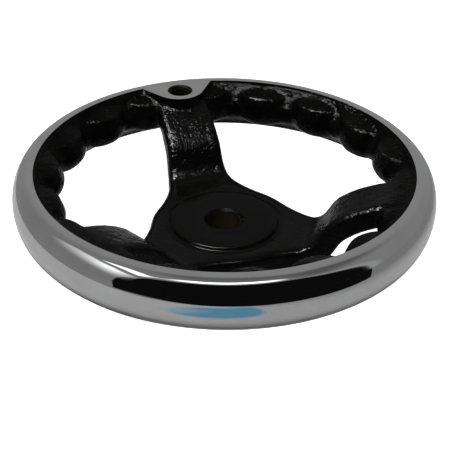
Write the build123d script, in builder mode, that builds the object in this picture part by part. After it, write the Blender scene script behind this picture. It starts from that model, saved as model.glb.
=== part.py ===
from build123d import *
import os
from math import acos, cos, degrees, radians, sin, sqrt, tan

# Three-arm cast iron machine handwheel, dished, with finger lobes round the inside of its rim.
# It is one casting: the turned rim, the arms, the hub and the boss for a screwed-in handle.
# Origin: centre of the hub's rear face, on the bore. +Z points to the operator.
# The arm with the handle boss lies along +Y.

# ---- Wheel ----
wheel_diameter = 160.0
overall_height = 44.0  # rear face of the hub to the crest of the rim
arm_count = 3
boss_angle = 90.0  # direction of the arm that carries the handle boss

# ---- Rim ----
rim_height = 21.6
rim_bulge = 6.7  # how far the turned outside swells out past its crest
land_width = 1.5  # flat turned ring inside the crest
foot_setback = 1.0  # the cast wall meets the turned underside this far outside the crest
throat_depth = 7.2  # cast inner wall at its narrowest, between two lobes, inside the land
throat_height = 11.0  # of that narrowest place, above the underside of the rim
wall_top_slope = 56.0  # degrees, cast wall just under the land
wall_foot_slope = 50.0  # degrees, cast wall just above the underside

# ---- Finger lobes ----
lobe_count = 18
lobe_curve_radius = 16.5  # of a lobe's nose, seen along the wheel axis
lobe_nose_depth = 12.3  # nose: where it stands furthest in from the land, towards the wheel axis
lobe_nose_drop = 14.0  # below the land
lobe_nose_round = 7.0
lobe_shoulder_depth = 8.6  # shoulder: the front edge of its top, not as far in as the nose
lobe_shoulder_drop = 3.6  # below the land
lobe_shoulder_round = 4.0
lobe_root_depth = 1.2  # its top and foot are rooted this far behind the edge of the land
lobe_top_gap = 1.0  # at the root, below the land
lobe_foot_gap = 2.0  # at the root, above the underside of the rim

# ---- Hub ----
hub_length = 20.0
hub_rear_diameter = 36.0
hub_draft = 2.0  # degrees
face_diameter = 40.6  # raised round face at the front
face_rise = 1.3
face_flank = 1.6  # radial width of its sloping edge
hub_rear_fillet = 3.0  # between the hub's barrel and the back of the flange
flange_radius = 28.4  # round web that joins the arms
flange_thickness = 9.0

# ---- Bore ----
bore_diameter = 14.0
bore_chamfer = 0.8

# ---- Arms ----
arm_root_width = 25.0  # at the wheel axis
arm_tip_width = 20.4  # at the crest of the rim
arm_thickness = 8.8
arm_foot_radius = 30.0  # where an arm begins to rise out of the flange
arm_middle_radius = 43.0
arm_middle_drop = 13.0  # below the crest
arm_middle_slope = 40.0
arm_tip_drop = 0.9  # below the crest, inside the rim
arm_tip_slope = 8.0
arm_root_fillet = 46.0  # in plan, between an arm and the flange
arm_front_round = 2.5
arm_back_round = 1.5

# ---- Handle boss ----
handle_inset = 8.5  # axis of the handle hole, inside the crest of the rim
boss_radius = 10.6
boss_inset = 5.9  # centre of the boss's round nose, inside the crest
boss_flank_reach = 15.7  # either side, where its flanks run out at the crest
boss_depth = 15.0
handle_thread_diameter = 10.0  # M10, coarse
handle_thread_pitch = 1.5
handle_hole_depth = 12.5
handle_mouth_margin = 0.2  # the countersunk mouth is this much wider in radius than the thread
handle_mouth_angle = 90.0  # of the countersink

# ---- Places that follow from these ----
wheel_radius = wheel_diameter / 2
crest_radius = wheel_radius - rim_bulge
land_inner_radius = crest_radius - land_width
throat_radius = land_inner_radius - throat_depth
rim_bottom = overall_height - rim_height
rim_middle = overall_height - rim_height / 2
foot_angle = degrees(acos(foot_setback / rim_bulge))  # on the rim's swelling outside
flange_top = hub_length - face_rise
flange_bottom = flange_top - flange_thickness
lobe_pitch = 360.0 / lobe_count
lobe_nose_radius = land_inner_radius - lobe_nose_depth
lobe_shoulder_radius = land_inner_radius - lobe_shoulder_depth
handle_radius = crest_radius - handle_inset
boss_centre_radius = crest_radius - boss_inset
handle_drill_radius = (handle_thread_diameter - handle_thread_pitch) / 2
handle_mouth_radius = handle_thread_diameter / 2 + handle_mouth_margin


# ---- One finger lobe, on +X ----
# Part of a turned barrel whose own axis stands outside the wheel, so that it is convex towards
# the wheel axis, and cut off at the valleys that it shares with its neighbours.
lobe_axis_radius = lobe_nose_radius + lobe_curve_radius
lobe_back = lobe_axis_radius - land_inner_radius - lobe_root_depth
lobe_swing = 140.0  # of the barrel, well past both valleys

with BuildPart() as lobe:
    barrel_plane = Plane(
        origin=(lobe_axis_radius, 0, 0),
        x_dir=(-cos(radians(lobe_swing / 2)), sin(radians(lobe_swing / 2)), 0),
        z_dir=(sin(radians(lobe_swing / 2)), cos(radians(lobe_swing / 2)), 0),
    )
    with BuildSketch(barrel_plane):
        Polygon(
            (lobe_back, rim_bottom + lobe_foot_gap),
            (lobe_axis_radius - lobe_nose_radius, overall_height - lobe_nose_drop),
            (lobe_axis_radius - lobe_shoulder_radius, overall_height - lobe_shoulder_drop),
            (lobe_back, overall_height - lobe_top_gap),
            align=None,
        )
        shoulder, nose = vertices().sort_by(Axis.X)[-2:]
        fillet(nose, lobe_nose_round)
        fillet(shoulder, lobe_shoulder_round)
    revolve(axis=Axis((lobe_axis_radius, 0, 0), (0, 0, 1)), revolution_arc=lobe_swing)
    with BuildSketch():
        with BuildLine():
            outer = CenterArc((0, 0), land_inner_radius + lobe_root_depth, -lobe_pitch / 2, lobe_pitch)
            Line((0, 0), outer @ 0)
            Line((0, 0), outer @ 1)
        make_face()
    extrude(amount=overall_height, mode=Mode.INTERSECT)

# ---- Side view of an arm, on +X ----
# An ogee, kept to one thickness along its own slope, and wider than the finished arm.
strip_half_width = arm_root_width / 2 + arm_root_fillet

with BuildPart() as strip:
    with BuildSketch(Plane.XZ.offset(-strip_half_width)):
        with BuildLine():
            middle = Vector(arm_middle_radius, overall_height - arm_middle_drop)
            middle_tangent = Vector(cos(radians(arm_middle_slope)), sin(radians(arm_middle_slope)))
            tip = Vector(crest_radius, overall_height - arm_tip_drop)
            tip_tangent = Vector(cos(radians(arm_tip_slope)), sin(radians(arm_tip_slope)))
            heel_radius = arm_foot_radius + arm_thickness * tan(radians(arm_middle_slope / 2))
            front = Spline(
                (arm_foot_radius, flange_top),
                middle,
                tip,
                tangents=[(1, 0), middle_tangent, tip_tangent],
            )
            back = Spline(
                (heel_radius, flange_bottom),
                middle + arm_thickness * Vector(middle_tangent.Y, -middle_tangent.X),
                tip + arm_thickness * Vector(tip_tangent.Y, -tip_tangent.X),
                tangents=[(1, 0), middle_tangent, tip_tangent],
            )
            Polyline(front @ 0, (0, flange_top), (0, flange_bottom), back @ 0)
            Line(front @ 1, back @ 1)
        make_face()
    extrude(amount=2 * strip_half_width)

# ---- All the arms, with the flange that joins them ----
with BuildPart() as spider:
    with PolarLocations(0, arm_count, start_angle=boss_angle):
        add(strip.part)

    # Plan view: tapered arms, filleted into the round flange
    with BuildSketch():
        Circle(flange_radius)
        with PolarLocations(0, arm_count, start_angle=boss_angle):
            Polygon(
                (0, arm_root_width / 2),
                (0, -arm_root_width / 2),
                (crest_radius, -arm_tip_width / 2),
                (crest_radius, arm_tip_width / 2),
                align=None,
            )
        roots = vertices().filter_by(lambda v: Vector(v.X, v.Y).length < arm_middle_radius)
        fillet(roots, arm_root_fillet)
    extrude(amount=overall_height, mode=Mode.INTERSECT)

    # Round the long edges: softly at the front, tightly at the back
    end_lean = 0.3  # z-part of a unit normal; the ends of the arms, inside the rim, stay under it
    upright = 0.001
    walls = spider.faces().filter_by(lambda f: abs(f.normal_at().Z) < upright)
    front_faces = spider.faces().filter_by(lambda f: f.normal_at().Z > end_lean)
    back_faces = spider.faces().filter_by(lambda f: f.normal_at().Z < -end_lean)
    front_edges = front_faces.edges() & walls.edges()
    back_edges = back_faces.edges() & walls.edges()
    fillet(front_edges, arm_front_round)
    fillet(back_edges, arm_back_round)

# ---- The casting ----
with BuildPart() as handwheel:
    with BuildSketch(Plane.XZ):
        with BuildLine():
            land = Line((land_inner_radius, overall_height), (crest_radius, overall_height))
            swell = EllipticalCenterArc(
                (crest_radius, rim_middle),
                rim_bulge,
                rim_height / 2,
                start_angle=-foot_angle,
                arc_size=foot_angle + 90,
            )
            wall = Spline(
                land @ 0,
                (throat_radius, rim_bottom + throat_height),
                swell @ 0,
                tangents=[
                    (-cos(radians(wall_top_slope)), -sin(radians(wall_top_slope))),
                    (0, -1),
                    (cos(radians(wall_foot_slope)), -sin(radians(wall_foot_slope))),
                ],
            )
        make_face()
    revolve(axis=Axis.Z)

    with PolarLocations(0, lobe_count, start_angle=boss_angle + lobe_pitch / 2):
        add(lobe.part)
    add(spider.part)

    # Hub: drafted barrel behind the flange, raised round face in front of it
    with BuildSketch(Plane.XZ):
        rear_radius = hub_rear_diameter / 2
        barrel_radius = rear_radius + flange_bottom * tan(radians(hub_draft))
        face_radius = face_diameter / 2
        Polygon(
            (0, 0),
            (rear_radius, 0),
            (barrel_radius, flange_bottom),
            (flange_radius - arm_front_round, flange_bottom),
            (flange_radius - arm_front_round, flange_top),
            (face_radius + face_flank, flange_top),
            (face_radius, hub_length),
            (0, hub_length),
            align=None,
        )
        barrel_corner = vertices().sort_by_distance((barrel_radius, flange_bottom))[0]
        fillet(barrel_corner, hub_rear_fillet)
    revolve(axis=Axis.Z)

    # Handle boss: its flat face is turned flush with the land of the rim
    with BuildSketch(Plane.XY.offset(overall_height)):
        flank_y = sqrt(crest_radius**2 - boss_flank_reach**2)
        with BuildLine():
            CenterArc((0, boss_centre_radius), boss_radius, 0, 360)
            Line((-boss_flank_reach, flank_y), (boss_flank_reach, flank_y))
        make_hull()
        Circle(crest_radius, mode=Mode.INTERSECT)
    extrude(amount=-boss_depth)

    # Shaft bore, chamfered at both ends
    with Locations((0, 0, hub_length)):
        Hole(bore_diameter / 2)
    bore_mouths = edges(Select.LAST).filter_by(GeomType.CIRCLE)
    chamfer(bore_mouths, bore_chamfer)

    # Tapping hole for the handle, blind, with a countersunk mouth
    with Locations((0, handle_radius, overall_height)):
        CounterSinkHole(
            handle_drill_radius,
            handle_mouth_radius,
            depth=handle_hole_depth,
            counter_sink_angle=handle_mouth_angle,
        )

handwheel.part.label = "handwheel"
os.makedirs("parts", exist_ok=True)
export_step(handwheel.part, "parts/handwheel.step")
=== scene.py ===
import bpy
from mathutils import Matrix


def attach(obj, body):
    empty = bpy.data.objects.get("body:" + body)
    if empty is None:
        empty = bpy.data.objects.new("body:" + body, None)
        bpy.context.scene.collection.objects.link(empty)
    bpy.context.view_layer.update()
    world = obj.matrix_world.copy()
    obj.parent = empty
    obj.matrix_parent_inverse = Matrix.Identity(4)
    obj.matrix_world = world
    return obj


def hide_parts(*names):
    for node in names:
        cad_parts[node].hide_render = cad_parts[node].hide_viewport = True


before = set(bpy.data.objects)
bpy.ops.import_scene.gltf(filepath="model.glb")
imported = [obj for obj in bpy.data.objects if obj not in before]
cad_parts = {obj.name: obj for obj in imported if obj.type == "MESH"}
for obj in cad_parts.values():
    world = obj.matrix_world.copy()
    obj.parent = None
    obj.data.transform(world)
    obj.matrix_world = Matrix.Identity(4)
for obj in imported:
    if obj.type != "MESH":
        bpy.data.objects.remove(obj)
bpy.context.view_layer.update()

from math import acos, atan2, cos, degrees, pi, radians, sin, sqrt

import bmesh
import bpy
import numpy as np
from mathutils import Matrix, Vector, noise

# A chrome-rimmed, black enamelled handwheel. Lengths are in millimetres in the code and in metres
# in the meshes. Materials work in metres, so lengths there are written with MM as well.
MM = 0.001

# ---- Sizes shared with the solid ----
HEIGHT = 44.0  # from the rear of the hub to the rim's crest
CREST_R, LAND_R = 73.3, 71.8  # the rim's crest, and the inner edge of its flat land
BULGE, RIM_HALF = 6.7, 10.8  # half axes of the ellipse outside the crest
RIM_MIDDLE = HEIGHT - RIM_HALF
FOOT_ANGLE = degrees(acos(1.0 / BULGE))  # the ellipse ends this far below its middle, at the foot
HUB_LENGTH, FLANGE_TOP = 20.0, 18.7
FACE_R, FACE_FLANK = 20.3, 1.6  # the hub's raised face and the width of its flank
BORE_R, BORE_CHAMFER = 7.0, 0.8
HANDLE_R = 64.8  # from the wheel axis to the handle hole
BOSS_C, BOSS_R = 67.4, 10.6  # the boss's round nose: its centre from the wheel axis, its radius
BOSS_REACH = 15.7  # half the boss's width where its flanks meet the crest
DRILL_R, THREAD_R, MOUTH_R, PITCH, HOLE_DEPTH = 4.25, 5.0, 5.2, 1.5, 12.5  # the handle hole

# ---- The photograph's camera ----
VIEW_TURN = -17.15  # degrees that the wheel is turned against the camera's left and right
ELEVATION, ROLL = radians(32.24), 0.01421
DISTANCE, ASIDE, ABOVE = 495.2, 0.36, -22.27  # from the wheel, along the camera's own axes
AIM_HEIGHT = HEIGHT - 0.3
FOCAL_PIXELS, PICTURE_PIXELS, SENSOR_WIDTH = 1315.4, 450, 36


def turned(v):
    """Turns a point or direction of the photograph's left and right to the wheel's own."""
    a = radians(VIEW_TURN)
    return Vector((v[0] * cos(a) - v[1] * sin(a), v[0] * sin(a) + v[1] * cos(a), v[2]))


look = Vector((0, cos(ELEVATION), -sin(ELEVATION)))
right = Vector((1, 0, 0))
up = Vector((0, sin(ELEVATION), cos(ELEVATION)))
place = -look * DISTANCE + right * ASIDE + up * ABOVE
camera_data = bpy.data.cameras.new("camera")
camera_data.lens = FOCAL_PIXELS * SENSOR_WIDTH / PICTURE_PIXELS
camera_data.sensor_width = SENSOR_WIDTH
camera_data.clip_start = 0.01
camera_data.clip_end = 50
camera = bpy.data.objects.new("camera", camera_data)
bpy.context.scene.collection.objects.link(camera)
axes = [
    turned(cos(ROLL) * right + sin(ROLL) * up),
    turned(-sin(ROLL) * right + cos(ROLL) * up),
    turned(-look),
]
at = (turned(place) + Vector((0, 0, AIM_HEIGHT))) * MM
camera.matrix_world = Matrix(
    [[*(axis[i] for axis in axes), at[i]] for i in range(3)] + [[0, 0, 0, 1]]
)
bpy.context.scene.camera = camera
bpy.context.scene.view_settings.view_transform = "Standard"


# ---- Mesh helpers ----
def full_turn(count):
    """Angles in even steps once round, in radians."""
    return [2 * pi * k / count for k in range(count)]


def smooth_step(x, low, high):
    """0 up to low, 1 from high, and smooth between; for numbers and for arrays."""
    t = np.clip((x - low) / (high - low), 0, 1)
    return t * t * (3 - 2 * t)


def new_object(name, mesh, sharp=None):
    """A smooth-shaded object; creases over sharp degrees stay creases."""
    obj = bpy.data.objects.new(name, mesh)
    bpy.context.scene.collection.objects.link(obj)
    mesh.polygons.foreach_set("use_smooth", [True] * len(mesh.polygons))
    if sharp is not None:
        mesh.set_sharp_from_angle(angle=radians(sharp))
    return obj


def loft(name, loops, materials, slots=None, sharp=35):
    """Skins equal loops of points, the last joined to the first, into one closed tube.

    slots gives the material slot of the strip from each loop to the next.
    """
    count, around = len(loops), len(loops[0])
    verts = [tuple(c * MM for c in p) for loop in loops for p in loop]
    faces, index = [], []
    for i in range(count):
        k = (i + 1) % count
        for j in range(around):
            m = (j + 1) % around
            faces.append((i * around + j, k * around + j, k * around + m, i * around + m))
            index.append(slots[i] if slots else 0)
    mesh = bpy.data.meshes.new(name)
    mesh.from_pydata(verts, [], faces)
    mesh.update()
    bm = bmesh.new()
    bm.from_mesh(mesh)
    bmesh.ops.recalc_face_normals(bm, faces=bm.faces)
    bm.to_mesh(mesh)
    bm.free()
    for m in materials:
        mesh.materials.append(m)
    mesh.polygons.foreach_set("material_index", index)
    return new_object(name, mesh, sharp)


def loop_round_hole(around, z, radius_at):
    """A loop at height z round the handle hole's axis, radius_at(angle) from it."""
    points = []
    for a in full_turn(around):
        r = radius_at(a)
        points.append((r * cos(a), HANDLE_R + r * sin(a), z))
    return points


def lathe(name, profile, around, **more):
    """Turns a closed profile of (radius, height) about the wheel axis."""
    turns = full_turn(around)
    loops = [[(r * cos(a), r * sin(a), z) for a in turns] for r, z in profile]
    return loft(name, loops, **more)


# ---- Node helpers ----
class Nodes:
    """Adds and links the nodes of one tree."""

    def __init__(self, tree):
        self.tree = tree
        tree.nodes.clear()

    def add(self, kind, inputs=None, **props):
        """A node; an input is linked where it is given a socket, and set where it isn't."""
        node = self.tree.nodes.new(kind)
        for k, v in props.items():
            setattr(node, k, v)
        for k, v in (inputs or {}).items():
            if isinstance(v, bpy.types.NodeSocket):
                self.tree.links.new(v, node.inputs[k])
            else:
                node.inputs[k].default_value = v
        return node

    def math(self, operation, a, b=0.0):
        return self.add("ShaderNodeMath", {0: a, 1: b}, operation=operation).outputs[0]

    def remap(self, value, low, high, to_low=0.0, to_high=1.0):
        """Value from low to high, carried over to to_low to to_high and held there beyond."""
        return self.add("ShaderNodeMapRange", {
            "Value": value, "From Min": low, "From Max": high,
            "To Min": to_low, "To Max": to_high,
        }).outputs["Result"]

    def place(self):
        """The point of the object, in metres."""
        return self.add("ShaderNodeTexCoord").outputs["Object"]

    def noise(self, where, scale, detail, rough):
        """Noise from 0 to 1, with scale features in a metre."""
        return self.add("ShaderNodeTexNoise", {
            "Vector": where, "Scale": scale, "Detail": detail, "Roughness": rough,
        }).outputs["Fac"]

    def bump(self, height, strength, distance, normal=None):
        """Bumps distance metres high, on top of those that normal already has."""
        inputs = {"Height": height, "Strength": strength, "Distance": distance}
        if normal is not None:
            inputs["Normal"] = normal
        return self.add("ShaderNodeBump", inputs).outputs["Normal"]

    def mix(self, factor, a, b):
        """Colour a where factor is 0, and b where it is 1."""
        node = self.add("ShaderNodeMix", data_type="RGBA")
        self.tree.links.new(factor, node.inputs["Factor"])
        node.inputs["A"].default_value = (*a, 1)
        node.inputs["B"].default_value = (*b, 1)
        return node.outputs["Result"]

    def add_shaders(self, a, b):
        return self.add("ShaderNodeAddShader", {0: a, 1: b}).outputs[0]

    def radius_and_height(self, where, centre=(0.0, 0.0)):
        """Distance from an axis along Z, and height, for turning marks and zones."""
        split = self.add("ShaderNodeSeparateXYZ", {0: where})
        dx = self.math("SUBTRACT", split.outputs["X"], centre[0])
        dy = self.math("SUBTRACT", split.outputs["Y"], centre[1])
        squares = self.math("ADD", self.math("MULTIPLY", dx, dx), self.math("MULTIPLY", dy, dy))
        return self.math("SQRT", squares), split.outputs["Z"]

    def surface(self, shader):
        """Ends a material's tree in shader."""
        self.add("ShaderNodeOutputMaterial", {"Surface": shader})

    def principled(self, colour, rough, normal, others):
        """Ends a material's tree in one Principled shader; others holds its other inputs."""
        shader = self.add("ShaderNodeBsdfPrincipled", {
            "Base Color": colour, "Roughness": rough, "Normal": normal, **others,
        })
        self.surface(shader.outputs["BSDF"])


def material(name):
    """A new material, and its nodes."""
    m = bpy.data.materials.new(name)
    m.use_nodes = True
    return m, Nodes(m.node_tree)


# ---- Materials ----
# Zones of the enamel, by distance from the wheel axis or by height
ARMS_BEGIN, ARMS_FULL = 33 * MM, 40 * MM
LOBES_BEGIN, LOBES_END = 61.5 * MM, 66 * MM
FOOT_LOW, FOOT_HIGH = 25 * MM, 30 * MM
HUB_SAND = 0.3  # unevenness round the hub, of that on the arms
# painted shade: the gloss taken off behind the lobes, and the IOR drop at the rim's foot, which
# darken the reflections there
SHADE_BEHIND_LOBES, SHADE_AT_FOOT = 0.7, 0.32  # a share of the gloss, and a drop in the IOR
ENAMEL_BLACK, ENAMEL_FADED = (0.0016, 0.0016, 0.0015), (0.0033, 0.0032, 0.0030)
CHROME_GREY, CHROME_BRIGHT = (0.50, 0.505, 0.50), (0.565, 0.57, 0.568)


def black_enamel(name, skin, gloss):
    """Enamel brushed over the cast skin; skin scales its unevenness, low on turned faces."""
    m, n = material(name)
    where = n.place()
    reach, height = n.radius_and_height(where)

    # the sand was smoother round the hub than on the arms
    sand = n.remap(reach, ARMS_BEGIN, ARMS_FULL, HUB_SAND, 1.0)
    broad = n.noise(where, scale=260.0, detail=2.0, rough=0.5)
    grain = n.noise(where, scale=720.0, detail=2.5, rough=0.55)
    fine = n.noise(where, scale=2100.0, detail=2.0, rough=0.5)
    cells = n.add("ShaderNodeTexVoronoi", {"Vector": where, "Scale": 900.0, "Randomness": 1.0})
    pits = n.remap(cells.outputs["Distance"], 0.0, 0.22)
    broad_strength = n.math("MULTIPLY", sand, 0.75 * skin)
    grain_strength = n.math("MULTIPLY", sand, 0.85 * skin)
    normal = n.bump(broad, strength=broad_strength, distance=0.8 * MM)
    normal = n.bump(grain, strength=grain_strength, distance=0.5 * MM, normal=normal)
    normal = n.bump(pits, strength=0.18 * skin, distance=0.12 * MM, normal=normal)
    normal = n.bump(fine, strength=0.10 * skin + 0.02, distance=0.1 * MM, normal=normal)

    fading = n.remap(n.noise(where, scale=90.0, detail=4.0, rough=0.6), 0.35, 0.7)
    colour = n.mix(fading, ENAMEL_BLACK, ENAMEL_FADED)
    strokes = n.noise(where, scale=420.0, detail=3.0, rough=0.6)
    rough = n.remap(strokes, 0.3, 0.7, to_low=0.10, to_high=0.18)

    # painted shade: less gloss behind the lobes and a lower IOR at the rim's foot darken the
    # reflections in these recesses
    painted_shade_behind = n.remap(reach, LOBES_BEGIN, LOBES_END)
    painted_shade_foot = n.math("MULTIPLY", painted_shade_behind, n.remap(height, FOOT_HIGH, FOOT_LOW))
    shine = n.math("SUBTRACT", gloss, n.math("MULTIPLY", painted_shade_behind, SHADE_BEHIND_LOBES * gloss))
    ior = n.math("SUBTRACT", 1.45, n.math("MULTIPLY", painted_shade_foot, SHADE_AT_FOOT))
    n.principled(colour, rough, normal, {"Specular IOR Level": shine, "IOR": ior})
    return m


def chrome():
    """Bright plating over a turned and polished rim."""
    m, n = material("chrome_plating")
    where = n.place()
    reach, height = n.radius_and_height(where)
    rings = n.add("ShaderNodeCombineXYZ", {"X": reach, "Y": height}).outputs[0]
    turning = n.noise(rings, scale=5200.0, detail=2.0, rough=0.6)
    wave = n.noise(where, scale=45.0, detail=1.0, rough=0.4)
    smudge = n.noise(where, scale=70.0, detail=5.0, rough=0.62)
    normal = n.bump(wave, strength=0.05, distance=0.6 * MM)
    normal = n.bump(turning, strength=0.035, distance=0.02 * MM, normal=normal)
    colour = n.mix(n.remap(smudge, 0.3, 0.75), CHROME_GREY, CHROME_BRIGHT)
    rough = n.remap(smudge, 0.35, 0.8, to_low=0.02, to_high=0.045)
    n.principled(colour, rough, normal, {"Metallic": 1.0})
    return m


def bare_iron(name, centre, dark, light, smoothest, roughest):
    """Machined cast iron with turning marks about centre, oiled and a little oxidised."""
    m, n = material(name)
    where = n.place()
    reach, height = n.radius_and_height(where, centre)
    rings = n.add("ShaderNodeCombineXYZ", {"X": reach, "Y": height}).outputs[0]
    turning = n.noise(rings, scale=6500.0, detail=3.0, rough=0.65)
    pores = n.noise(where, scale=1500.0, detail=2.0, rough=0.5)
    stain = n.noise(where, scale=160.0, detail=5.0, rough=0.6)
    normal = n.bump(turning, strength=0.30, distance=0.04 * MM)
    normal = n.bump(pores, strength=0.12, distance=0.05 * MM, normal=normal)
    colour = n.mix(n.remap(stain, 0.3, 0.72), dark, light)
    rough = n.remap(stain, 0.3, 0.7, to_low=roughest, to_high=smoothest)
    n.principled(colour, rough, normal, {"Metallic": 0.9})
    return m


enamel = black_enamel("black_enamel_on_cast_skin", skin=1.0, gloss=0.07)
enamel_turned = black_enamel("black_enamel_on_turned_face", skin=0.16, gloss=0.05)
plating = chrome()
bore_iron = bare_iron(
    "bored_iron", centre=(0.0, 0.0), smoothest=0.34, roughest=0.55,
    dark=(0.012, 0.010, 0.005), light=(0.040, 0.034, 0.020),
)
thread_iron = bare_iron(
    "tapped_iron", centre=(0.0, HANDLE_R * MM), smoothest=0.30, roughest=0.5,
    dark=(0.011, 0.010, 0.005), light=(0.038, 0.036, 0.020),
)


# ---- Rim plating: the land, the crest and the swelling outside, down to the foot ----
SHELL = 0.6  # the turned pieces are this deep, and the casting is pushed back under them


def ellipse(inset, low, steps):
    """Points (radius, height) of the rim's ellipse, from low degrees up to the crest."""
    points = []
    for k in range(steps + 1):
        t = radians(low + (90 - low) * k / steps)
        points.append((
            CREST_R + (BULGE - inset) * cos(t),
            RIM_MIDDLE + (RIM_HALF - inset) * sin(t),
        ))
    return points


land = [(LAND_R, HEIGHT), (LAND_R + 0.5, HEIGHT), (LAND_R + 1.0, HEIGHT)]
outer = ellipse(0.0, -FOOT_ANGLE, 64)[::-1]
inner = ellipse(SHELL, -FOOT_ANGLE + 3, 24) + [(LAND_R + 0.02, HEIGHT - SHELL)]
rim_plating = lathe("rim_plating", land + outer + inner, around=480, materials=[plating])


# ---- Boss face: faced in one cut with the land, and plated with it ----
BOSS_BEVEL, BOSS_SIDES = 0.04, 240


def boss_outline(angle):
    """Distance from the handle hole's axis to the edge of the boss, inside the land's circle.

    The boss is a round nose with two straight flanks, tangent to it, that run out to the crest.
    """
    direction = np.array([cos(angle), sin(angle)])
    hole, nose = np.array([0.0, HANDLE_R]), np.array([0.0, BOSS_C])

    def to_circle(middle, radius):
        offset = hole - middle
        b, c = offset @ direction, offset @ offset - radius * radius
        return -b + sqrt(max(b * b - c, 0.0))

    edge = to_circle(nose, BOSS_R)
    for side in (-1, 1):
        tip = np.array([side * BOSS_REACH, sqrt(CREST_R**2 - BOSS_REACH**2)]) - nose
        lean = atan2(tip[1], tip[0]) - side * acos(BOSS_R / np.linalg.norm(tip))
        normal = np.array([cos(lean), sin(lean)])
        speed = normal @ direction
        if speed > 1e-9:
            to_flank = (normal @ nose + BOSS_R - normal @ hole) / speed
            past_tangent = hole + direction * to_flank - (nose + normal * BOSS_R)
            if past_tangent @ np.array([-normal[1], normal[0]]) * np.sign(normal[0]) > 0:
                edge = to_flank
    return min(edge, to_circle(np.zeros(2), LAND_R))


def boss_loop(share, z, shrink=0.0, inner=MOUTH_R):
    """A loop at height z, share of the way from the hole's mouth to the boss's edge."""
    return loop_round_hole(
        BOSS_SIDES, z, lambda a: inner + (boss_outline(a) - shrink - inner) * share,
    )


boss_face = loft(
    "boss_face",
    [
        boss_loop(0.0, HEIGHT),
        boss_loop(0.3, HEIGHT),
        boss_loop(0.7, HEIGHT),
        boss_loop(1.0, HEIGHT, shrink=BOSS_BEVEL),
        boss_loop(1.0, HEIGHT - BOSS_BEVEL),
        boss_loop(1.0, HEIGHT - 0.5),
        boss_loop(1.0, HEIGHT - SHELL, shrink=1.0),
        boss_loop(0.0, HEIGHT - SHELL, inner=MOUTH_R + 0.15),
    ],
    materials=[plating, enamel_turned],
    slots=[0, 0, 0, 1, 1, 1, 0, 0],
)


# ---- Thread of the handle hole, with its countersunk mouth ----
ROOT_HALF, CREST_FROM = 0.0625, 0.375  # the flank's two ends, in pitches from a root's middle
THREAD_RUN_OUT = 1.2  # the thread ends this far above the bottom of the hole
THREAD_STEPS, THREAD_SIDES = 118, 96
THREAD_WALL = THREAD_R + 0.3  # the hidden outside of the piece


def thread_radius(angle, depth):
    """Internal thread: flat crests at the drilled size, 60 degree flanks, flat roots."""
    turn = (depth / PITCH + angle / (2 * pi)) % 1.0
    from_root = min(turn, 1.0 - turn)
    flank = np.clip((CREST_FROM - from_root) / (CREST_FROM - ROOT_HALF), 0.0, 1.0)
    fade = np.clip(HOLE_DEPTH - THREAD_RUN_OUT - depth, 0.0, 1.0)
    return max(DRILL_R + (THREAD_R - DRILL_R) * flank * fade, MOUTH_R - depth)


# from the mouth's edge down to just above the bottom
depths = [0.0]
depths += [0.06 + (HOLE_DEPTH - 0.08) * k / THREAD_STEPS for k in range(THREAD_STEPS + 1)]
loops = [
    loop_round_hole(THREAD_SIDES, HEIGHT - depth, lambda a: thread_radius(a, depth))
    for depth in depths
]
for radius, z in (  # the bottom of the hole, and round the hidden outside back to the mouth
    (0.05, HEIGHT - HOLE_DEPTH),
    (0.05, HEIGHT - HOLE_DEPTH - 0.4),
    (THREAD_WALL, HEIGHT - HOLE_DEPTH - 0.4),
    (THREAD_WALL, HEIGHT - 0.3),
    (MOUTH_R + 0.02, HEIGHT - 0.02),
):
    loops.append(loop_round_hole(THREAD_SIDES, z, lambda a: radius))
handle_thread = loft("handle_thread", loops, sharp=40, materials=[thread_iron])


# ---- Hub turning: faced front, bored and chamfered through, faced rear ----
FLANGE_EDGE = FACE_R + FACE_FLANK  # where the flank of the face meets the flange
bore = [
    (BORE_R, BORE_CHAMFER), (BORE_R, 4.0), (BORE_R, 10.0), (BORE_R, 16.0),
    (BORE_R, HUB_LENGTH - BORE_CHAMFER),
]
front = [
    (BORE_R + BORE_CHAMFER, HUB_LENGTH), (10.0, HUB_LENGTH), (15.0, HUB_LENGTH),
    (FACE_R - 0.5, HUB_LENGTH), (FACE_R - 0.2, HUB_LENGTH - 0.02),
    (FACE_R + 0.03, HUB_LENGTH - 0.10), (FACE_R + 0.17, HUB_LENGTH - 0.25),
    (FACE_R + 0.45, HUB_LENGTH - 0.75), (FACE_R + 0.6, FLANGE_TOP + 0.3),
    (FACE_R + 0.76, FLANGE_TOP + 0.15), (FACE_R + 1.05, FLANGE_TOP + 0.06),
    (FLANGE_EDGE, FLANGE_TOP + 0.01), (FLANGE_EDGE + 1.0, FLANGE_TOP - 0.03),
]
hidden = [
    (FLANGE_EDGE + 1.6, FLANGE_TOP - 0.35), (FACE_R, FLANGE_TOP - 0.9), (9.6, FLANGE_TOP - 1.2),
    (9.6, 1.2), (17.0, 0.8),
]
rear = [
    (17.75, 0.55), (17.6, 0.2), (17.3, 0.0), (14.0, 0.0), (10.0, 0.0),
    (BORE_R + BORE_CHAMFER, 0.0),
]
profile = bore + front + hidden + rear
first_enamelled = len(bore) - 1  # the front chamfer
last_enamelled = len(bore + front) - 1
hub_turning = lathe(
    "hub_turning", profile, around=256, materials=[bore_iron, enamel_turned],
    slots=[int(first_enamelled <= k <= last_enamelled) for k in range(len(profile))],
)


# ---- The casting: remeshed from the solid, its creases softened, with an uneven cast skin ----
VOXEL, QUICK_VOXEL = 0.79, 1.3  # 0.79 mm gives 194,000 triangles; a piece may have 200,000
SOFTENING_ROUNDS, PULL_IN, PUSH_OUT = 8, 0.5, 0.3
SKIN = (  # size and height of the bumps, and the offset that keeps the three apart
    (11.0, 0.16, (0, 0, 0)),
    (3.6, 0.085, (31, 7, 3)),
    (1.7, 0.04, (5, 47, 13)),
)
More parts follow.
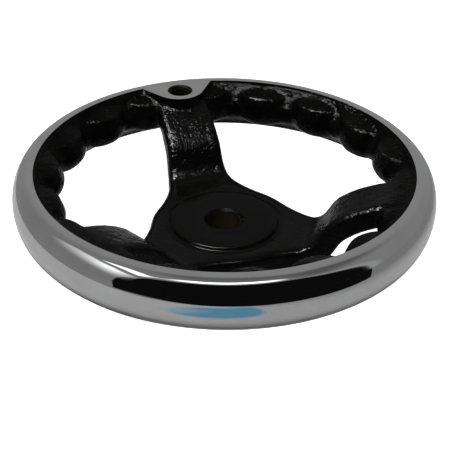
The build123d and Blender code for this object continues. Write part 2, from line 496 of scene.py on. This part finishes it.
# Distances from the wheel axis over which the cast skin begins, grows full, and ends at the rim
SKIN_BEGINS, SKIN_FULL, SKIN_ENDS = (21.6, 23.4), (31, 40), (71.2, 72.2)
SKIN_NEAR_HUB = 0.35  # of its full height
# How far the casting is sunk under the turned pieces that cover it
UNDER_PLATING, UNDER_LAND, UNDER_BOSS_FACE, UNDER_FRONT, UNDER_REAR = 0.5, 0.45, 0.4, 0.35, 0.42
UNDER_ALL = 0.12  # and no point of it comes nearer to the faced level
BEHIND_THREAD, BEHIND_BORE = 0.28, 1.6
# Which of its points are covered
LAND_STOP = 0.2  # the ellipse begins this far inside the crest
PLATED_SHARE = 0.8  # of the ellipse's half axes: points farther out are the rim's outer layer
FOOT_FADE = -1, 9  # degrees above the foot over which the rim goes under its plating
BOSS_ZONE = 20  # from the handle hole's axis, past the whole boss
THREAD_ZONE, BORE_ZONE = 0.8, 0.95  # past the hole's own radius
FRONT_R, FRONT_Z = 24, 17.0  # within and above
FRONT_EDGE = 21.8, 23.0  # over which the flange comes up again round the turned front
REAR_R, REAR_Z = 18.2, 0.9  # within and below
TINY = 1e-6  # keeps divisors off zero


def remeshed(node):
    """An even mesh of a CAD node's shape; the node itself isn't changed."""
    source = node.data.copy()
    bm = bmesh.new()
    bm.from_mesh(source)
    bmesh.ops.remove_doubles(bm, verts=bm.verts, dist=0.004 * MM)
    bm.to_mesh(source)
    bm.free()
    block = bpy.data.objects.new("block", source)
    bpy.context.scene.collection.objects.link(block)
    remesh = block.modifiers.new("remesh", "REMESH")
    remesh.mode = "VOXEL"
    remesh.voxel_size = VOXEL * MM
    evaluated = block.evaluated_get(bpy.context.evaluated_depsgraph_get())
    mesh = bpy.data.meshes.new_from_object(evaluated)
    bpy.data.objects.remove(block)
    bpy.data.meshes.remove(source)
    return mesh


def read_vectors(items, attribute):
    """One row of x, y, z for each item."""
    values = np.empty(len(items) * 3)
    items.foreach_get(attribute, values)
    return values.reshape(-1, 3)


def write_points(mesh, co):
    """Moves the mesh's points to co, in millimetres."""
    mesh.vertices.foreach_set("co", (co * MM).ravel())
    mesh.update()


def softened(mesh, co):
    """Rounds the creases: pulls each point to its neighbours, then pushes most of it back."""
    edge = np.empty(len(mesh.edges) * 2, np.int64)
    mesh.edges.foreach_get("vertices", edge)
    a, b = edge.reshape(-1, 2).T
    degree = np.maximum(np.bincount(edge, minlength=len(co)), 1)[:, None]

    def to_neighbours(values):
        total = np.zeros_like(values)
        for one, other in ((a, b), (b, a)):
            for axis in range(3):
                total[:, axis] += np.bincount(one, values[other, axis], len(values))
        return total / degree - values

    for _ in range(SOFTENING_ROUNDS):
        co = co + PULL_IN * to_neighbours(co)
        co = co - PUSH_OUT * to_neighbours(co)
    return co


def with_cast_skin(co, normals):
    """Low swells and smaller lumps, smoother round the hub, and none on what is turned."""
    radial = np.hypot(co[:, 0], co[:, 1])
    cast = (1 - smooth_step(radial, *SKIN_ENDS)) * smooth_step(radial, *SKIN_BEGINS)
    cast *= SKIN_NEAR_HUB + (1 - SKIN_NEAR_HUB) * smooth_step(radial, *SKIN_FULL)
    height = sum(
        amount * np.array([noise.noise(Vector(p) / size + Vector(offset)) for p in co])
        for size, amount, offset in SKIN
    )
    return co + normals * (height * cast)[:, None]


def sink_under_plating(co):
    """Draws the rim in under its plating, less and less towards the foot, where it comes out."""
    radial = np.hypot(co[:, 0], co[:, 1])
    out, rise = radial - CREST_R, co[:, 2] - RIM_MIDDLE
    angle = np.degrees(np.arctan2(rise / RIM_HALF, out / BULGE))
    outside = (out > -LAND_STOP) & (np.hypot(out / BULGE, rise / RIM_HALF) > PLATED_SHARE)
    under = smooth_step(angle, *(-FOOT_ANGLE + fade for fade in FOOT_FADE)) * outside
    inset = UNDER_PLATING * under
    keep = 1 - inset / np.maximum(np.hypot(out, rise), TINY)
    drawn_in = np.where(outside, CREST_R + out * keep, radial)
    co[:, :2] *= (drawn_in / np.maximum(radial, TINY))[:, None]
    co[:, 2] = np.where(outside, RIM_MIDDLE + rise * keep, co[:, 2])
    on_land = (radial > LAND_R - 0.25) & (radial <= CREST_R - LAND_STOP)
    co[:, 2] -= UNDER_LAND * (on_land & (co[:, 2] > HEIGHT - SHELL))


def sink_under_boss_face(co, boss_gap):
    """Lowers the top of the boss, and keeps everything else below the faced level."""
    radial = np.hypot(co[:, 0], co[:, 1])
    top = (co[:, 2] > HEIGHT - 0.55) & (radial < LAND_R) & (boss_gap < BOSS_ZONE)
    co[:, 2] = np.where(top, np.minimum(co[:, 2], HEIGHT - UNDER_BOSS_FACE), co[:, 2])
    co[:, 2] = np.minimum(co[:, 2], HEIGHT - UNDER_ALL)


def clear_holes(co, boss_gap):
    """Moves the walls of the handle hole and of the bore back behind their turned pieces."""
    wall = (boss_gap < DRILL_R + THREAD_ZONE) & (co[:, 2] > HEIGHT - HOLE_DEPTH + 0.5)
    push = np.where(wall, (THREAD_R + BEHIND_THREAD) / np.maximum(boss_gap, TINY), 1.0)
    co[:, 0] *= push
    co[:, 1] = HANDLE_R + (co[:, 1] - HANDLE_R) * push
    radial = np.hypot(co[:, 0], co[:, 1])
    wall = radial < BORE_R + BORE_ZONE
    push = np.where(wall, (BORE_R + BEHIND_BORE) / np.maximum(radial, TINY), 1.0)
    co[:, :2] *= push[:, None]


def sink_under_hub_faces(co):
    """Lowers the middle of the flange under its turned front, and clears the faced rear."""
    radial = np.hypot(co[:, 0], co[:, 1])
    level = FLANGE_TOP - UNDER_FRONT * (1 - smooth_step(radial, *FRONT_EDGE)) + 0.04
    front = (co[:, 2] > FRONT_Z) & (radial < FRONT_R)
    co[:, 2] = np.where(front, np.minimum(co[:, 2], level), co[:, 2])
    rear = (co[:, 2] < REAR_Z) & (radial < REAR_R)
    co[:, 2] = np.where(rear, np.maximum(co[:, 2], UNDER_REAR), co[:, 2])


mesh = remeshed(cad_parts["handwheel"])
mesh.name = "casting"
points = softened(mesh, read_vectors(mesh.vertices, "co") / MM)
boss_gap = np.hypot(points[:, 0], points[:, 1] - HANDLE_R)
write_points(mesh, points)
points = with_cast_skin(points, read_vectors(mesh.vertices, "normal"))
sink_under_plating(points)
sink_under_boss_face(points, boss_gap)
clear_holes(points, boss_gap)
sink_under_hub_faces(points)
write_points(mesh, points)
mesh.materials.clear()
mesh.materials.append(enamel)
mesh.polygons.foreach_set("material_index", [0] * len(mesh.polygons))
casting = new_object("casting", mesh)


# ---- Studio: a pale tent with a dark opening for the camera, and soft boxes ----
# All of it is seen only in reflections. Azimuth 0 is towards the camera, and positive to its right.
TENT_R, OPENING_R, LEFT_BOX_R, FRONT_BOX_R, HOT_MIDDLE_R = 2.6, 2.3, 2.2, 2.15, 2.0  # metres
STUDIO_TURNS, STUDIO_ROWS = 96, 33
RIBBON_STEP, RIBBON_ROWS, RIBBON_HALF = 1.5, 19, 1.5  # degrees along; rows across; see ribbon
TENT_LOW = -6  # degrees of elevation, just below the table
TENT_SIDE, TENT_BACK, TENT_CROWN, TENT_TOP_RIGHT = 0.29, 0.37, 0.19, 0.15  # its brightness
DARK = 0.006  # what the unlit room gives back


def toward(az, el):
    """Direction from the wheel at an azimuth and elevation, in degrees."""
    a, e = radians(az), radians(el)
    return turned((sin(a) * cos(e), -cos(a) * cos(e), sin(e)))


def glow_material(name, colour, through):
    """Shines with the mesh's own glow; through lets what lies behind show as well."""
    m, n = material(name)
    glow = n.add("ShaderNodeAttribute", attribute_name="glow").outputs["Fac"]
    tint = n.add("ShaderNodeAttribute", attribute_name="tint").outputs["Fac"]
    shade = n.mix(tint, (1, 1, 1), colour)
    shader = n.add("ShaderNodeEmission", {"Color": shade, "Strength": glow}).outputs[0]
    if through:
        shader = n.add_shaders(shader, n.add("ShaderNodeBsdfTransparent").outputs[0])
    n.surface(shader)
    return m


def studio_sheet(name, verts, faces, glow, colour=(1, 1, 1), tint=None, through=False):
    """A sheet seen only in reflections, glow and tint given for each point."""
    mesh = bpy.data.meshes.new(name)
    mesh.from_pydata(verts, [], faces)
    mesh.update()
    for attribute, values in (("glow", glow), ("tint", tint or [1.0] * len(verts))):
        layer = mesh.attributes.new(attribute, "FLOAT", "POINT")
        layer.data.foreach_set("value", np.array(values, np.float32))
    mesh.materials.append(glow_material(name, colour, through))
    obj = new_object(name, mesh)
    obj.visible_camera = False
    obj.visible_diffuse = False
    obj.visible_shadow = False
    return obj


def grid_faces(rows, columns, closed):
    """Quads between neighbouring rows of points; a closed row's last point meets its first."""
    faces = []
    for i in range(rows - 1):
        for j in range(columns if closed else columns - 1):
            k = (j + 1) % columns
            low, high = i * columns, (i + 1) * columns
            faces.append((low + j, low + k, high + k, high + j))
    return faces


def tent_glow(az, el):
    """The tent: lighter at the back and a little at the right, darker overhead and top right."""
    level = TENT_SIDE + 0.035 * smooth_step(az, 40, 80)
    level += (TENT_BACK - level) * smooth_step(abs(az), 120, 165)
    crown = smooth_step(el, 66, 82)
    level += (TENT_CROWN - level) * crown
    top_right = smooth_step(az, 40, 70) * (1 - smooth_step(az, 105, 135))
    top_right *= smooth_step(el, 34, 58)
    return level + (TENT_TOP_RIGHT - level) * top_right * (1 - 0.5 * crown)


def ribbon(name, radius, spine, glow, through=False):
    """A band along points of azimuth, elevation, half width and peak.

    glow(az, el, v, peak) gives its light. v runs across it, -1 and 1 at the half width, and on
    to RIBBON_HALF, where the light has run out.
    """
    spine = np.array(spine, float)
    turns = np.arange(spine[0, 0], spine[-1, 0] + 0.01, RIBBON_STEP)
    across = np.linspace(-RIBBON_HALF, RIBBON_HALF, RIBBON_ROWS)
    verts, levels = [], []
    for v in across:
        for az in turns:
            middle, half, peak = (np.interp(az, spine[:, 0], spine[:, k]) for k in (1, 2, 3))
            el = middle + half * v
            verts.append(toward(az, el) * radius)
            levels.append(glow(az, el, v, peak))
    faces = grid_faces(len(across), len(turns), closed=False)
    return studio_sheet(name, verts, faces, levels, through=through)


def rounded(points, steps=5):
    """A closed Catmull-Rom curve through points."""
    curve = []
    for i in range(len(points)):
        a, b, c, d = (np.array(points[(i + k) % len(points)], float) for k in (-1, 0, 1, 2))
        for k in range(steps):
            t = k / steps
            curve.append(0.5 * (
                2 * b + (c - a) * t + (2 * a - 5 * b + 4 * c - d) * t**2
                + (3 * b - a - 3 * c + d) * t**3
            ))
    return curve


verts, levels = [], []
for i in range(STUDIO_ROWS):
    el = TENT_LOW + (90 - TENT_LOW) * i / (STUDIO_ROWS - 1)
    for j in range(STUDIO_TURNS):
        az = -180 + 360 * j / STUDIO_TURNS
        verts.append(toward(az, min(el, 89.9)) * TENT_R)
        levels.append(tent_glow(az, el))
studio_sheet("tent", verts, grid_faces(STUDIO_ROWS, STUDIO_TURNS, closed=True), levels)

# the dark room behind the camera, seen through the tent's opening; azimuth and elevation
opening = rounded([
    (-54.5, -22), (-54.5, 3), (-52.3, 20), (-49, 28), (-46.6, 29.5), (-44.6, 38), (-41.5, 43.5),
    (-35, 47.7), (-22, 51.7), (0, 52.2), (25, 52), (42, 51), (53, 46.5), (63, 38), (70, 29),
    (75.3, 17), (77, 3), (77, -22), (10, -26),
])
OPENING_MIDDLE = (10, 12)
verts, levels = [], []
rings = [0.0, 0.4, 0.7, 0.82, 0.88, 0.92, 0.95, 0.97, 0.985, 0.994, 1.0, 1.02, 1.04, 1.07, 1.1]
for ring in rings:
    for corner in opening:
        az, el = (m + (c - m) * ring for m, c in zip(OPENING_MIDDLE, corner))
        soft = 0.05 * smooth_step(az, 35, 60)
        lit_hem = 0.14 * smooth_step(az, 48, 60) * (1 - smooth_step(ring, 1.03, 1.1))
        around_it = tent_glow(az, el) + lit_hem
        verts.append(toward(az, el) * OPENING_R)
        levels.append(DARK + (around_it - DARK) * smooth_step(ring, 0.99 - soft, 1.0))
studio_sheet("dark_opening", verts, grid_faces(len(rings), len(opening), closed=True), levels)


# the two soft boxes over the front: a thin bright line along the rim
def front_box_glow(az, el, v, peak):
    tent = tent_glow(az, el)
    return tent + (peak - tent) * (1 - smooth_step(abs(v), 0.65, 1.3))


ribbon("soft_boxes_front", FRONT_BOX_R, [
    (-91, 54, 1.8, 0.3), (-86, 55.5, 2.8, 1.9), (-78, 56.5, 4.0, 2.3), (-66, 54.8, 4.2, 2.4),
    (-56, 51.5, 4.8, 2.8), (-50, 48.7, 4.8, 2.9), (-47, 50.5, 4.6, 1.2), (-42, 55, 4.5, 0.52),
    (-37, 58.5, 4.5, 1.05), (-27, 61, 4.5, 3.0), (0, 62, 4.5, 3.2), (20, 62, 4.5, 3.2),
    (32, 61, 4.5, 3.0), (40, 60.2, 4.2, 1.9), (48, 60, 4.0, 0.25),
], front_box_glow)


# their hot middle, which only the enamel's weak mirror shows, since it would flood the plating
def hot_middle_glow(az, el, v, peak):
    return peak * (1 - smooth_step(abs(v), 0.7, 1.3)) ** 2


hot_middle = ribbon("soft_boxes_front_core", HOT_MIDDLE_R, [
    (-97, 64, 4.3, 260), (-45, 65.4, 4.3, 260), (-18, 66.8, 4.3, 200), (0, 67.5, 4.3, 50),
    (22, 68.6, 4.3, 15), (51, 70, 4.3, 10),
], hot_middle_glow, through=True)
receivers = bpy.data.collections.new("seen_in_enamel")
for piece in (casting, hub_turning):
    receivers.objects.link(piece)
hot_middle.light_linking.receiver_collection = receivers


# the soft box at the left, brightest along its upper edge
def left_box_glow(az, el, v, peak):
    fall = smooth_step(v, -1.2, 1.25) * (1 - smooth_step(v, 0.9, 1.2))
    return max(peak - tent_glow(az, el), 0.0) * fall


ribbon("soft_box_left", LEFT_BOX_R, [
    (-105, 33, 10, 0.30), (-101, 34, 11.5, 0.85), (-90, 33.5, 13.5, 1.15), (-76, 31, 13, 1.6),
    (-66, 29.5, 12.5, 2.3), (-58, 26, 12, 2.0), (-51, 24.5, 11, 1.1), (-47.5, 25, 9, 0.6),
    (-45, 25, 8, 0.29),
], left_box_glow, through=True)


# ---- On the table, seen in the rim: the dark beyond its edge, its far part, blue paper ----
# Lengths are in millimetres, and the heights only keep the sheets clear of one another.
FAR_TABLE_Z, DARK_ROOM_Z, BLUE_SLIP_Z = 0.7, 1.0, 1.1
STUDIO_REACH = 2300
BLUE = 0.15, 0.38, 0.56

table_edge = [
    (-148, -148), (-143, -153), (-134, -163), (-120, -177), (-90, -186), (-60, -187), (0, -186),
    (20, -184), (66, -166), (95, -146), (114, -123), (131, -102), (151, -83),
]
far_arc = [
    (STUDIO_REACH * sin(radians(a)), -STUDIO_REACH * cos(radians(a)))
    for a in (76.3, 45, 20, -5, -30, -54.2)
]
outline = [turned((x, y, DARK_ROOM_Z)) * MM for x, y in table_edge + far_arc]
studio_sheet(
    "dark_room_beyond_table", outline, [tuple(range(len(outline)))], [DARK] * len(outline),
)

# the table grows dim over a band that is near and wide at the right, and far and thin at the left
verts, levels = [], []
for share, glow in ((0.0, 0.55), (0.5, 0.42), (1.0, 0.30), (None, 0.29)):
    for j in range(STUDIO_TURNS):
        az = -180 + 360 * j / STUDIO_TURNS
        right_side = smooth_step(az, -20, 60)
        begins = 185 - 77 * right_side
        reach = STUDIO_REACH if share is None else begins + share * (10 + 62 * right_side)
        a = radians(az)
        verts.append(turned((reach * sin(a), -reach * cos(a), FAR_TABLE_Z)) * MM)
        levels.append(glow)
studio_sheet("table_beyond", verts, grid_faces(4, STUDIO_TURNS, closed=True), levels)

slip = rounded([
    (-43, -118), (-38, -106), (-20, -102), (14, -103), (28, -109), (35, -130), (35, -158),
    (28, -166), (0, -163), (-26, -157), (-41, -140),
], steps=3)
slip_middle = np.mean(slip, axis=0)
verts, levels, tints = [], [], []
for share, tint in ((0.0, 1.0), (0.85, 1.0), (0.97, 0.6), (1.08, 0.0)):
    for corner in slip:
        x, y = slip_middle + (corner - slip_middle) * share
        strength = tint * (0.6 + 0.4 * smooth_step(x, -42, -22))
        verts.append(turned((x, y, BLUE_SLIP_Z)) * MM)
        tints.append(strength)
        levels.append(0.55 + 0.45 * strength)
studio_sheet(
    "blue_slip", verts, grid_faces(4, len(slip), closed=True), levels, BLUE, tints,
)


# ---- Floor, world and lamp ----
FLOOR_R, FLOOR_SIDES = 3, 96  # radius in metres
# painted light and shade: the floor's colour is lighter at the left and darker at the right, in
# place of the lamp's falloff
FLOOR_PAINTED_LIGHT_LEFT, FLOOR_PAINTED_SHADE_RIGHT = (0.58, 0.58, 0.58), (0.47, 0.47, 0.47)  # its colour, 160 mm to each side
FLOOR_GLOW = 0.92  # added for the camera only, so that the floor is white and keeps its shadow
AMBIENT = 0.31  # the world's light on diffuse surfaces; the camera and mirrors see it white


def floor_material():
    """Pale paper, with painted shade: a little darker to the right as seen from the camera."""
    m, n = material("floor")
    seen = n.add("ShaderNodeLightPath").outputs["Is Camera Ray"]
    where = n.place()
    split = n.add("ShaderNodeSeparateXYZ", {0: where})
    turn = radians(VIEW_TURN)
    across = n.math(
        "ADD",
        n.math("MULTIPLY", split.outputs["X"], cos(turn)),
        n.math("MULTIPLY", split.outputs["Y"], sin(turn)),
    )
    grain = n.math("MULTIPLY", n.noise(where, scale=6.0, detail=3.0, rough=0.5), 0.1)
    # painted shade: the paper darkens towards the right, with a little random grain
    painted_shade_and_grain = n.math("ADD", n.remap(across, -160 * MM, 160 * MM), grain)
    shade = n.mix(painted_shade_and_grain, FLOOR_PAINTED_LIGHT_LEFT, FLOOR_PAINTED_SHADE_RIGHT)
    paper = n.add("ShaderNodeBsdfDiffuse", {"Color": shade}).outputs[0]
    glow = n.math("MULTIPLY", seen, FLOOR_GLOW)
    light = n.add("ShaderNodeEmission", {"Strength": glow}).outputs[0]
    n.surface(n.add_shaders(paper, light))
    return m


mesh = bpy.data.meshes.new("floor")
verts = [(0, 0, 0)] + [(FLOOR_R * cos(a), FLOOR_R * sin(a), 0) for a in full_turn(FLOOR_SIDES)]
faces = [(0, k + 1, (k + 1) % FLOOR_SIDES + 1) for k in range(FLOOR_SIDES)]
mesh.from_pydata(verts, [], faces)
mesh.materials.append(floor_material())
floor = new_object("floor", mesh)

world = bpy.data.worlds.new("studio")
bpy.context.scene.world = world
world.use_nodes = True
n = Nodes(world.node_tree)
path = n.add("ShaderNodeLightPath")
shown = n.math("MAXIMUM", path.outputs["Is Camera Ray"], path.outputs["Is Glossy Ray"])
shown = n.math("MAXIMUM", shown, path.outputs["Is Transmission Ray"])
strength = n.remap(shown, 0.0, 1.0, AMBIENT, 1.0)
background = n.add("ShaderNodeBackground", {"Color": (1, 1, 1, 1), "Strength": strength})
n.add("ShaderNodeOutputWorld", {"Surface": background.outputs[0]})

lamp = bpy.data.lights.new("overhead", "AREA")
lamp.shape = "SQUARE"
lamp.size = 0.6
lamp.energy = 8.6
overhead = bpy.data.objects.new("overhead", lamp)
bpy.context.scene.collection.objects.link(overhead)
overhead.location = (0, 0, 1.0)
overhead.visible_glossy = False
overhead.visible_camera = False

# ---- Onto the frame ----
for piece in (casting, rim_plating, boss_face, handle_thread, hub_turning):
    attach(piece, "root")
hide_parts("handwheel")
